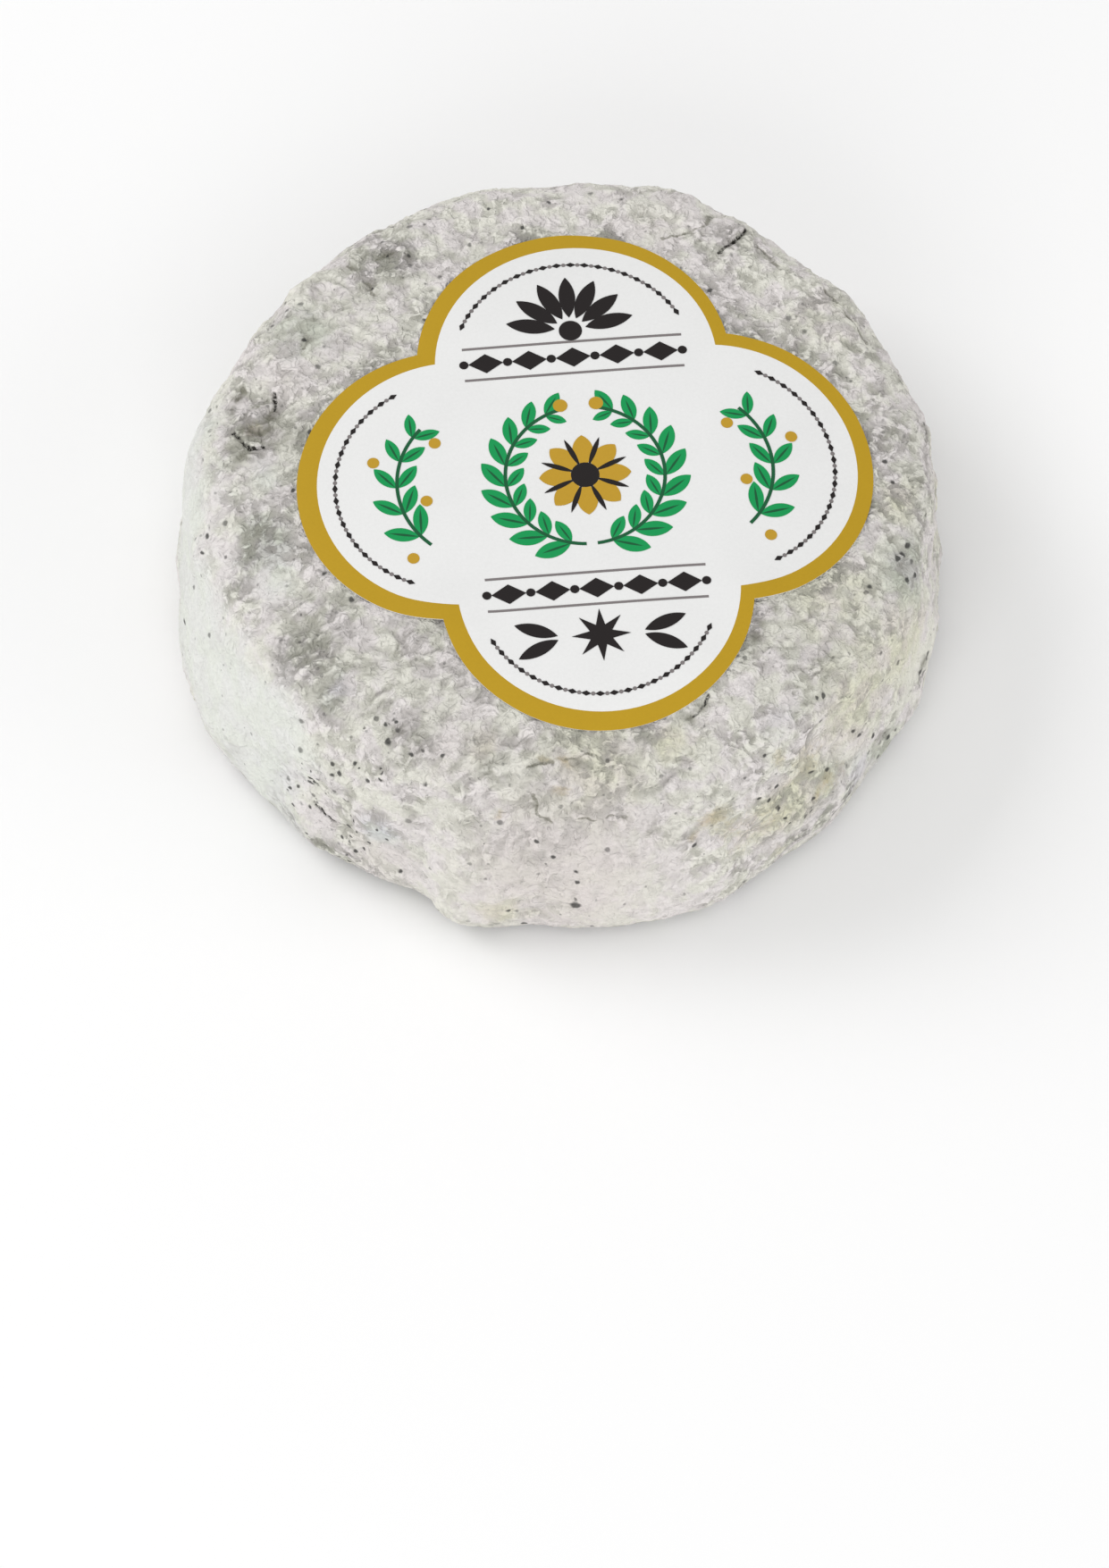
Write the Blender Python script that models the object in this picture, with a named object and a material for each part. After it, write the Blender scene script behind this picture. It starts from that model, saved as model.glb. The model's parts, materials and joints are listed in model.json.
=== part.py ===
"""Round soft-ripened goat cheese with a paper label, in metres, +Z up.

The cheese stands on its flat base, with the origin under its middle at table height.
Angles run anticlockwise from +X, seen from above, and the front of the cheese is at -Y.
"""

from math import atan2, cos, degrees, hypot, pi, radians, sin, sqrt

import bmesh
import bpy
from mathutils import Vector, noise
from mathutils.bvhtree import BVHTree

# Driving dimensions of the cheese
WIDEST_RADIUS = 0.0429
SHOULDER_RADIUS = 0.0412
BASE_RADIUS = 0.0400
CHEESE_HEIGHT = 0.0280
WIDEST_HEIGHT = 0.0052
FLANK_CURVE = 1.5
SHOULDER_ROUND = 0.0058
TOP_FLAT_RADIUS = 0.0355
TOP_DROP = 0.0013
TOP_FALL_POWER = 4

# Fineness of the turned shape
TURN_STEPS = 132
RING_STEP = 0.0021
FOOT_TURN_STEP = radians(30)
SHOULDER_TURN_STEP = radians(18)
BASE_RINGS = (0.0, 0.016, 0.030, 0.036)
TOP_MIDDLE_RINGS = (0.012, 0.006, 0.0)
MERGE_DISTANCE = 0.00001
SHARP_ANGLE = radians(50)

# Shares of the height, or of the widest radius, between which one kind of unevenness fades in
SHOULDER_FADE = (0.35, 0.85)
RIM_FADE = (0.70, 0.95)
SAG_FADE = (0.50, 0.90)

# Share of the widest ring's height that stays flat, and share of the whole height
# above which a place may lie under the label
FLAT_FOOT_SHARE = 0.2
LABEL_HEIGHT_SHARE = 0.7

# Unevenness of the outline: angle in degrees, how far it stands out, half its width in degrees
BASE_SWELLS = [
    (0, -0.0004, 16),
    (75, 0.0004, 16),
    (130, -0.0005, 26),
    (160, -0.0006, 16),
    (182, -0.0002, 12),
    (203, 0.0012, 26),
    (228, 0.0004, 14),
    (246, -0.0005, 6),
    (257, 0.0019, 10),
    (280, 0.0014, 30),
    (293, 0.0005, 9),
    (313, 0.0003, 8),
    (326, -0.0008, 12),
]
SHOULDER_SWELLS = [
    (14, 0.0010, 22),
    (39, 0.0012, 12),
    (55, 0.0011, 11),
    (68, 0.0015, 12),
    (82, 0.0006, 18),
    (105, 0.0008, 12),
    (137, -0.0009, 14),
    (156, -0.0006, 10),
    (174, 0.0008, 24),
    (216, -0.0006, 26),
    (268, -0.0007, 34),
    (322, -0.0006, 20),
]

# Softer stretches of the shoulder: angle, how far the edge is lowered, half the width in degrees,
# distance from the middle where the top starts to fall
SHOULDER_SAGS = [
    (2, 0.0023, 62, 0.014),
    (90, 0.0012, 50, 0.020),
    (212, 0.0016, 52, 0.028),
    (275, 0.0020, 46, 0.028),
]

# Dents in the rind: angle, distance from the middle, height of their middle, depth, radius
DENTS = [
    (164, 0.0375, 0.0262, 0.0012, 0.0038),
    (52, 0.0405, 0.0235, 0.0010, 0.0036),
    (232, 0.0420, 0.0120, 0.0009, 0.0060),
    (300, 0.0425, 0.0100, 0.0010, 0.0055),
    (338, 0.0420, 0.0140, 0.0008, 0.0060),
    (104, 0.0420, 0.0130, 0.0009, 0.0060),
    (20, 0.0430, 0.0100, 0.0007, 0.0055),
]

# Lumps of the rind: size of a lump and how far it rises
LUMPS = [
    (0.0105, 0.00042),
    (0.0052, 0.00034),
    (0.0031, 0.00022),
]
LUMP_SEED = 7.3

# Driving dimensions of the paper label, a four-lobed shape
LOBE_RADIUS = 0.01755
LOBE_OFFSET = 0.01465
LABEL_CENTRE = (0.0028, -0.0005)
LABEL_TURN = radians(5.0)
LABEL_THICKNESS = 0.0002
LABEL_GAP = 0.0003
LOBE_POINTS = 18
LABEL_RINGS = 7
CALM_MARGIN = 0.0030

# Colour and roughness of the two materials
RIND_FINISH = ((0.56, 0.55, 0.51, 1.0), 0.85)
PAPER_FINISH = ((0.80, 0.80, 0.78, 1.0), 0.60)


def smooth_step(low, high, value):
    """0 below low, 1 above high, and an even curve between them."""
    part = min(max((value - low) / (high - low), 0.0), 1.0)
    return part * part * (3.0 - 2.0 * part)


def fade(shares, whole, value):
    """Fades in between two shares of a whole length."""
    return smooth_step(shares[0] * whole, shares[1] * whole, value)


def sum_of_swells(swells, angle):
    """Adds the raised-cosine swells that reach an angle given in degrees."""
    total = 0.0
    for middle, rise, half_width in swells:
        away = abs((angle - middle + 180.0) % 360.0 - 180.0)
        if away < half_width:
            total += rise * 0.5 * (1.0 + cos(pi * away / half_width))
    return total


def top_height(radius):
    """Height of the calm top face, which falls slightly towards its edge."""
    return CHEESE_HEIGHT - TOP_DROP * (radius / TOP_FLAT_RADIUS) ** TOP_FALL_POWER


def even_steps(start, end, step):
    """Values from start up to but not including end, spaced evenly near the given step."""
    count = max(1, round(abs(end - start) / step))
    return [start + (end - start) * index / count for index in range(count)]


def profile_points():
    """Half outline of the cheese, from the middle of the base to the middle of the top."""
    points = [(radius, 0.0) for radius in BASE_RINGS]

    # Rounded foot, a quarter ellipse from the base out to the widest ring
    foot_reach = WIDEST_RADIUS - BASE_RADIUS
    for turn in even_steps(0.0, pi / 2, FOOT_TURN_STEP):
        points.append((BASE_RADIUS + foot_reach * sin(turn), WIDEST_HEIGHT * (1.0 - cos(turn))))

    # Flank, which leans inwards on its way up
    edge_height = top_height(TOP_FLAT_RADIUS)
    shoulder_start = edge_height - SHOULDER_ROUND
    for height in even_steps(WIDEST_HEIGHT, shoulder_start, RING_STEP):
        share = (height - WIDEST_HEIGHT) / (shoulder_start - WIDEST_HEIGHT)
        points.append((WIDEST_RADIUS + (SHOULDER_RADIUS - WIDEST_RADIUS) * share ** FLANK_CURVE, height))

    # Rounded shoulder, a quarter ellipse up to the edge of the top face
    shoulder_reach = SHOULDER_RADIUS - TOP_FLAT_RADIUS
    for turn in even_steps(0.0, pi / 2, SHOULDER_TURN_STEP):
        height = shoulder_start + SHOULDER_ROUND * sin(turn)
        points.append((TOP_FLAT_RADIUS + shoulder_reach * cos(turn), height))

    # Top face
    for radius in even_steps(TOP_FLAT_RADIUS, TOP_MIDDLE_RINGS[0], RING_STEP):
        points.append((radius, top_height(radius)))
    points += [(radius, top_height(radius)) for radius in TOP_MIDDLE_RINGS]
    return points


def label_edge(radians_from_middle):
    """Distance from the label's middle to its edge, in a direction given in its own turn."""
    quarter = pi / 2
    from_lobe = (radians_from_middle - LABEL_TURN + quarter / 2) % quarter - quarter / 2
    along = LOBE_OFFSET * cos(from_lobe)
    return along + sqrt(LOBE_RADIUS ** 2 - (LOBE_OFFSET * sin(from_lobe)) ** 2)


def distance_past_label(x, y):
    """How far a point of the top lies outside the label's edge, negative under the label."""
    across = x - LABEL_CENTRE[0]
    back = y - LABEL_CENTRE[1]
    return hypot(across, back) - label_edge(atan2(back, across))


def dent_depth(place):
    """Depth of the dents at a place on the rind."""
    depth = 0.0
    for angle, reach, height, deep, size in DENTS:
        middle = Vector((reach * cos(radians(angle)), reach * sin(radians(angle)), height))
        away = (place - middle).length / size
        if away < 1.0:
            depth += deep * (1.0 - away * away) ** 2
    return depth


def lump_rise(place):
    """Height of the rind's lumps at a place, finer lumps on top of coarser ones."""
    rise = 0.0
    for number, (size, height) in enumerate(LUMPS):
        offset = Vector((LUMP_SEED * (number + 1), -LUMP_SEED * number, LUMP_SEED))
        rise += 2.0 * height * noise.noise(place / size + offset)
    return rise


def shape_outline(vertex):
    """Pushes one vertex of the turned shape out or in, by the swells at its angle."""
    angle = degrees(atan2(vertex.co.y, vertex.co.x))
    radius = hypot(vertex.co.x, vertex.co.y)
    height = vertex.co.z
    if radius < MERGE_DISTANCE:
        return
    high = fade(SHOULDER_FADE, CHEESE_HEIGHT, height)
    push = (1.0 - high) * sum_of_swells(BASE_SWELLS, angle) + high * sum_of_swells(SHOULDER_SWELLS, angle)
    push *= fade(RIM_FADE, WIDEST_RADIUS, radius)
    sag = 0.0
    for middle, drop, half_width, start in SHOULDER_SAGS:
        reach = smooth_step(start, WIDEST_RADIUS, radius)
        sag += reach * sum_of_swells([(middle, drop, half_width)], angle)
    sag *= fade(SAG_FADE, CHEESE_HEIGHT, height)
    vertex.co.x *= 1.0 + push / radius
    vertex.co.y *= 1.0 + push / radius
    vertex.co.z -= sag


def roughen(vertex, normal):
    """Moves one vertex along its normal by the lumps and dents, but not on the base or under the label."""
    if vertex.co.z < FLAT_FOOT_SHARE * WIDEST_HEIGHT:
        return
    calm = 1.0
    if vertex.co.z > LABEL_HEIGHT_SHARE * CHEESE_HEIGHT:
        calm = smooth_step(0.0, CALM_MARGIN, distance_past_label(vertex.co.x, vertex.co.y))
    foot = smooth_step(0.0, WIDEST_HEIGHT, vertex.co.z)
    vertex.co += normal * (lump_rise(vertex.co) - dent_depth(vertex.co)) * calm * foot


def make_material(name, finish):
    colour, roughness = finish
    material = bpy.data.materials.new(name)
    material.use_nodes = True
    shader = material.node_tree.nodes["Principled BSDF"]
    shader.inputs["Base Color"].default_value = colour
    shader.inputs["Roughness"].default_value = roughness
    shader.inputs["Metallic"].default_value = 0.0
    return material


def finish_object(name, shape, material):
    """Turns a bmesh into a smooth-shaded object of the scene."""
    mesh = bpy.data.meshes.new(name)
    shape.to_mesh(mesh)
    shape.free()
    mesh.shade_smooth()
    mesh.set_sharp_from_angle(angle=SHARP_ANGLE)
    mesh.materials.append(material)
    result = bpy.data.objects.new(name, mesh)
    bpy.context.scene.collection.objects.link(result)
    return result


def make_cheese():
    """The whole round: a turned shape, pushed out of true and given the lumps of its rind."""
    shape = bmesh.new()
    corners = [shape.verts.new((radius, 0.0, height)) for radius, height in profile_points()]
    edges = [shape.edges.new(pair) for pair in zip(corners, corners[1:])]
    bmesh.ops.spin(
        shape,
        geom=corners + edges,
        cent=(0.0, 0.0, 0.0),
        axis=(0.0, 0.0, 1.0),
        angle=2.0 * pi,
        steps=TURN_STEPS,
    )
    bmesh.ops.remove_doubles(shape, verts=shape.verts, dist=MERGE_DISTANCE)
    for vertex in shape.verts:
        shape_outline(vertex)
    bmesh.ops.recalc_face_normals(shape, faces=shape.faces)
    shape.normal_update()
    normals = [vertex.normal.copy() for vertex in shape.verts]
    for vertex, normal in zip(shape.verts, normals):
        roughen(vertex, normal)
    return finish_object("cheese", shape, make_material("ripened_rind", RIND_FINISH))


def label_outline():
    """The four lobes' arcs, one after another, round the label's middle."""
    cusp_reach = (LOBE_OFFSET + sqrt(2.0 * LOBE_RADIUS ** 2 - LOBE_OFFSET ** 2)) / 2.0
    half_arc = atan2(cusp_reach, cusp_reach - LOBE_OFFSET)
    points = []
    for lobe in range(4):
        direction = LABEL_TURN + lobe * pi / 2
        for step in range(LOBE_POINTS):
            turn = direction + half_arc * (2.0 * step / LOBE_POINTS - 1.0)
            across = LOBE_OFFSET * cos(direction) + LOBE_RADIUS * cos(turn)
            back = LOBE_OFFSET * sin(direction) + LOBE_RADIUS * sin(turn)
            points.append((across, back))
    return points


def make_label(cheese):
    """The paper label, a thin sheet of four lobes that follows the top face, just clear of it."""
    rind = BVHTree.FromPolygons(
        [vertex.co for vertex in cheese.data.vertices],
        [face.vertices for face in cheese.data.polygons],
    )

    def label_height(x, y):
        above = Vector((x, y, 2.0 * CHEESE_HEIGHT))
        return rind.ray_cast(above, Vector((0.0, 0.0, -1.0)))[0].z + LABEL_GAP

    shape = bmesh.new()
    outline = label_outline()
    rings = []
    for ring in range(LABEL_RINGS):
        share = 1.0 - ring / LABEL_RINGS
        row = []
        for across, back in outline:
            x = LABEL_CENTRE[0] + across * share
            y = LABEL_CENTRE[1] + back * share
            row.append(shape.verts.new((x, y, label_height(x, y))))
        rings.append(row)
    middle = shape.verts.new((*LABEL_CENTRE, label_height(*LABEL_CENTRE)))
    count = len(outline)
    for outer, inner in zip(rings, rings[1:]):
        for index in range(count):
            after = (index + 1) % count
            shape.faces.new((outer[index], outer[after], inner[after], inner[index]))
    for index in range(count):
        shape.faces.new((rings[-1][index], rings[-1][(index + 1) % count], middle))
    lower_faces = list(shape.faces)
    raised = bmesh.ops.extrude_face_region(shape, geom=lower_faces)["geom"]
    raised_corners = [part for part in raised if isinstance(part, bmesh.types.BMVert)]
    bmesh.ops.translate(shape, verts=raised_corners, vec=(0.0, 0.0, LABEL_THICKNESS))
    bmesh.ops.recalc_face_normals(shape, faces=shape.faces)
    return finish_object("label", shape, make_material("label_paper", PAPER_FINISH))


def stand_on_origin(objects):
    """Shifts the meshes together, so that the origin lies under the middle of their box."""
    corners = [vertex.co for item in objects for vertex in item.data.vertices]
    low = Vector([min(corner[axis] for corner in corners) for axis in range(3)])
    high = Vector([max(corner[axis] for corner in corners) for axis in range(3)])
    shift = Vector((-(low.x + high.x) / 2.0, -(low.y + high.y) / 2.0, -low.z))
    for item in objects:
        for vertex in item.data.vertices:
            vertex.co += shift


def main():
    for item in list(bpy.data.objects):
        bpy.data.objects.remove(item, do_unlink=True)
    cheese = make_cheese()
    stand_on_origin([cheese, make_label(cheese)])


main()
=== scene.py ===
import json
from math import cos, pi, radians, sin, sqrt

import bpy
import numpy as np
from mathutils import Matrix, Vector

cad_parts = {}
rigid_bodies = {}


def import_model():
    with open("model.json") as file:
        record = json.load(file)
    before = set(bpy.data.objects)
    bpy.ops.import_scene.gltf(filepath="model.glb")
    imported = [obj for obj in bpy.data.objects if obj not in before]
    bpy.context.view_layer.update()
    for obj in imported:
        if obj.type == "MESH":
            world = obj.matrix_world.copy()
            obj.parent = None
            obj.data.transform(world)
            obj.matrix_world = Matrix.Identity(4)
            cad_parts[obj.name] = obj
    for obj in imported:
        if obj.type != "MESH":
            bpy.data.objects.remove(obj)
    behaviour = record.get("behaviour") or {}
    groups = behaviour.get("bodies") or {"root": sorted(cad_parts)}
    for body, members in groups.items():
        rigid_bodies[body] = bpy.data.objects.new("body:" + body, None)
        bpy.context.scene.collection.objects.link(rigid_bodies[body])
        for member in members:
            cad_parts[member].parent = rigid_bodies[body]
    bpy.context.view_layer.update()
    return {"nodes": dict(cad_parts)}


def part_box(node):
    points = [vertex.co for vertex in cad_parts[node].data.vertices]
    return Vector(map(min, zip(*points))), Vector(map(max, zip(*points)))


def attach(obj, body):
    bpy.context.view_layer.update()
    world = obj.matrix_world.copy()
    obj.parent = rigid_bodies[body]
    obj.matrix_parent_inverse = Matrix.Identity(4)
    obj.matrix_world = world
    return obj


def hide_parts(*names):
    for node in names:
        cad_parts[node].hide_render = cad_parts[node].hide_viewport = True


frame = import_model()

mm = 0.001  # sizes are in millimetres, and brought to metres where they are used
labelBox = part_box("label")
labelMiddle = (labelBox[0] + labelBox[1]) / 2 / mm + Vector((-0.2, 0.35, 0.0))  # the paper slipped a little
sheetHeight = 60.0  # flat shapes are cut out this high up, then laid down
planeGap = 0.001  # points this near to a cutting plane lie on it
origin = (0.0, 0.0, 0.0)


label = {
    "lobeRadius": 17.55,
    "lobeOffset": 14.65,
    "paleRadius": 15.77,  # the white field inside the gold band
    "paleOffset": 14.42,
    "paleShift": (0.27, 0.15),  # printed a little off the middle
    "turn": radians(5),
    "roundSides": 96,
    "mergeGap": 0.02,  # points nearer than this are one
    "grid": 1.2,  # it can bend along lines this far apart
    "reach": 34.0,  # and they run this far out
    "clearance": 0.26,  # its top above the calm rind
    "thickness": 0.12,
    "topFrom": 18.0,  # the label only reaches down to this height
    "notch": 24.5,  # from the middle to the notches
    "lifts": [(230, 0.50, 7.0), (320, 0.35, 6.0)],  # notches that stand up: where, how far, how wide
}
lobeMiddles = [
    (
        labelMiddle.x + label["lobeOffset"] * cos(label["turn"] + quarter * pi / 2),
        labelMiddle.y + label["lobeOffset"] * sin(label["turn"] + quarter * pi / 2),
    )
    for quarter in range(4)
]


# A few hand tools

def letGo():
    if bpy.context.mode != "OBJECT":
        bpy.ops.object.mode_set(mode="OBJECT")
    bpy.ops.object.select_all(action="DESELECT")


def takeUp(*pieces):  # selects these pieces alone, the first one active
    letGo()
    for piece in pieces:
        piece.select_set(True)
    bpy.context.view_layer.objects.active = pieces[0]


def openUp(piece, mode="VERT"):  # edit mode on one piece, nothing selected
    takeUp(piece)
    bpy.ops.object.mode_set(mode="EDIT")
    bpy.ops.mesh.select_mode(type=mode)
    bpy.ops.mesh.select_all(action="DESELECT")


def closeUp():
    bpy.ops.object.mode_set(mode="OBJECT")


def pickAll():
    bpy.ops.mesh.select_all(action="SELECT")


def sliceAcross(at, normal, dropBehind=False):  # cuts what is picked along a plane
    bpy.ops.mesh.bisect(plane_co=at, plane_no=normal, clear_inner=dropBehind, threshold=planeGap * mm)


def pickFaces(piece, wanted):  # edit mode, with the faces picked whose middles are wanted
    openUp(piece, "FACE")
    closeUp()
    middles = np.empty(len(piece.data.polygons) * 3)
    piece.data.polygons.foreach_get("center", middles)
    piece.data.polygons.foreach_set("select", wanted(middles.reshape(-1, 3) / mm))
    bpy.ops.object.mode_set(mode="EDIT")


def addModifier(piece, kind, **settings):
    modifier = piece.modifiers.new(kind.lower(), kind)
    for name, value in settings.items():
        setattr(modifier, name, value)
    takeUp(piece)
    bpy.ops.object.modifier_apply(modifier=modifier.name)


def settle(piece):  # puts its place into its mesh
    takeUp(piece)
    bpy.ops.object.transform_apply(location=True, rotation=True, scale=True)


def hand(piece, node):  # the piece stands for a solid and rides with it
    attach(piece, "root")
    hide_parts(node)


def paint(red, green, blue):  # from 0 to 255 to what the shader wants
    def linear(value):
        share = value / 255
        return share / 12.92 if share <= 0.04045 else ((share + 0.055) / 1.055) ** 2.4
    return (linear(red), linear(green), linear(blue), 1.0)


# Node trees written as sums

def isWide(part):  # a colour or a vector, not a single value
    if isinstance(part, Wire):
        return part.socket.type in ("VECTOR", "RGBA")
    return not isinstance(part, (int, float))


class Wire:  # a socket that can be reckoned with like a number
    def __init__(self, bench, socket):
        self.bench = bench
        self.socket = socket

    def beside(self, out):  # another socket of the same node
        return Wire(self.bench, self.socket.node.outputs[out])

    def __add__(self, other):
        return self.bench.reckon("ADD", self, other)

    def __radd__(self, other):
        return self.bench.reckon("ADD", other, self)

    def __sub__(self, other):
        return self.bench.reckon("SUBTRACT", self, other)

    def __rsub__(self, other):
        return self.bench.reckon("SUBTRACT", other, self)

    def __mul__(self, other):
        return self.bench.reckon("MULTIPLY", self, other)

    def __rmul__(self, other):
        return self.bench.reckon("MULTIPLY", other, self)

    def __truediv__(self, other):
        return self.bench.reckon("DIVIDE", self, other)


class Bench:  # a node tree, and the ways to add to it
    def __init__(self, tree):
        self.tree = tree

    def node(self, kind, settings=None, sockets=None, out=0):
        made = self.tree.nodes.new(kind)
        for name, value in (settings or {}).items():
            setattr(made, name, value)
        for name, value in (sockets or {}).items():
            self.plug(value, made.inputs[name])
        return Wire(self, made.outputs[out]) if made.outputs else made

    def plug(self, value, socket):
        if isinstance(value, Wire):
            self.tree.links.new(value.socket, socket)
        else:
            socket.default_value = value

    def reckon(self, operation, first, second):
        if not isWide(first) and not isWide(second):
            return self.node("ShaderNodeMath", {"operation": operation}, {0: first, 1: second})
        if operation == "MULTIPLY" and not (isWide(first) and isWide(second)):
            vector, factor = (first, second) if isWide(first) else (second, first)
            settings = {"operation": "SCALE"}
            return self.node("ShaderNodeVectorMath", settings, {0: vector, "Scale": factor})
        parts = [(part,) * 3 if isinstance(part, (int, float)) else part for part in (first, second)]
        return self.node("ShaderNodeVectorMath", {"operation": operation}, {0: parts[0], 1: parts[1]})

    def least(self, first, second):
        return self.reckon("MINIMUM", first, second)

    def most(self, first, second):
        return self.reckon("MAXIMUM", first, second)

    def unsigned(self, value):
        return self.reckon("ABSOLUTE", value, 0.0)

    def fade(self, value, low, high):  # 0 at low, 1 at high, a soft curve between
        limits = {"Value": value, "From Min": low, "From Max": high}
        return self.node("ShaderNodeMapRange", {"interpolation_type": "SMOOTHSTEP"}, limits)

    def distance(self, first, second):
        return self.node("ShaderNodeVectorMath", {"operation": "DISTANCE"}, {0: first, 1: second}, 1)

    def noise(self, place, size, detail=2.0, roughness=0.5, out=0):  # size is that of one lump
        sockets = {"Vector": place, "Scale": 1 / size, "Detail": detail, "Roughness": roughness}
        return self.node("ShaderNodeTexNoise", None, sockets, out)

    def crumple(self, place, size, detail=1.0):  # 0 along thin furrows, up to 1 between
        level = self.noise(place, size, detail) - 0.5
        return self.least(self.unsigned(level) * 6.0, 1.0)

    def drawOut(self, place, run, share):  # a pattern grows longer along run
        along = self.node("ShaderNodeVectorMath", {"operation": "DOT_PRODUCT"}, {0: place, 1: run}, 1)
        return place - along * run * share

    def wander(self, place, size, reach):  # pushes places about, for uneven edges
        return place + (self.noise(place, size, 1.0, out=1) - (0.5, 0.5, 0.5)) * (2 * reach)

    def mix(self, share, first, second):  # colours
        sockets = {0: share, 6: first, 7: second}
        return self.node("ShaderNodeMix", {"data_type": "RGBA"}, sockets, 2)

    def patches(self, place, rounds, join="MAXIMUM"):  # x, y, z, radius and strength
        total = None
        for x, y, z, radius, strength in rounds:
            patch = self.fade(self.distance(place, (x, y, z)), radius, 0.0) * strength
            total = patch if total is None else self.reckon(join, total, patch)
        return total

    def gather(self, parts):  # several geometries as one
        joined = self.tree.nodes.new("GeometryNodeJoinGeometry")
        for part in parts:
            self.plug(part, joined.inputs[0])
        return Wire(self, joined.outputs[0])

    def threads(self, rows):  # each row of points as a bent line
        runs = []
        for points in rows:
            for start, end in zip(points, points[1:]):
                ends = {"Start": start, "End": end}
                runs.append(self.node("GeometryNodeCurvePrimitiveLine", None, ends))
        return self.node("GeometryNodeCurveToMesh", None, {"Curve": self.gather(runs)})

    def nearest(self, geometry, place, element):  # and beside that how far it is
        sockets = {"Geometry": geometry, "Sample Position": place}
        return self.node("GeometryNodeProximity", {"target_element": element}, sockets)

    def specks(self, place, apart, radius, share):  # small round specks, one a cell
        cells = self.node("ShaderNodeTexVoronoi", None, {"Vector": place, "Scale": 1 / apart})
        chance = self.node("ShaderNodeSeparateColor", None, {0: cells.beside(1)})
        reach = (chance.beside(1) + 0.4) * (radius / apart)
        return self.fade(cells / reach, 1.0, 0.45) * self.fade(chance - share, 0.03, 0.0)


def newMaterial(name, roughness, gloss):
    material = bpy.data.materials.new(name)
    material.use_nodes = True
    shader = material.node_tree.nodes["Principled BSDF"]
    shader.inputs["Roughness"].default_value = roughness
    shader.inputs["Specular IOR Level"].default_value = gloss
    return material, Bench(material.node_tree), shader


# The rind

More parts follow.
